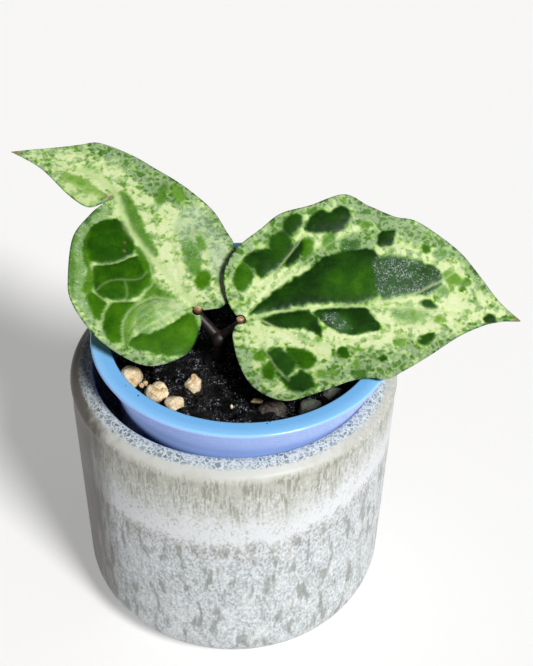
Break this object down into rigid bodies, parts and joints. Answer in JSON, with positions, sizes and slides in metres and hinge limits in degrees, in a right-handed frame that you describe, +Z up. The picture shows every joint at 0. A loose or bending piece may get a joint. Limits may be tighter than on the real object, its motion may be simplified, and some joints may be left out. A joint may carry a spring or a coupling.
{
  "type": "potted hoya",
  "caption": "Young hoya with two large mottled heart-shaped leaves, in a blue nursery pot that stands in a glazed ceramic cover pot.",
  "frame": {"origin": "centre of the cover pot's flat foot", "axes": "+Z up, -Y towards the front, +X along the right leaf"},
  "size_m": [0.1559, 0.1061, 0.1319],
  "materials": {
    "reactive_glaze": "grey and cream reactive glaze with dark speckles, satin to gloss",
    "blue_plastic": "light blue moulded plastic, lavender in the shade, glossy",
    "black_mix": "rough black mineral mix with pale pumice stones",
    "stem_bark": "smooth reddish-brown bark",
    "leaf_skin": "waxy leaf, dark green patches and silver flecks on pale yellow-green"
  },
  "bodies": {
    "root": {"cover_pot": "reactive_glaze", "nursery_pot": "blue_plastic", "potting_mix": "black_mix", "hoya_stem": "stem_bark", "leaf_left": "leaf_skin", "leaf_right": "leaf_skin"}
  },
  "joints": []
}
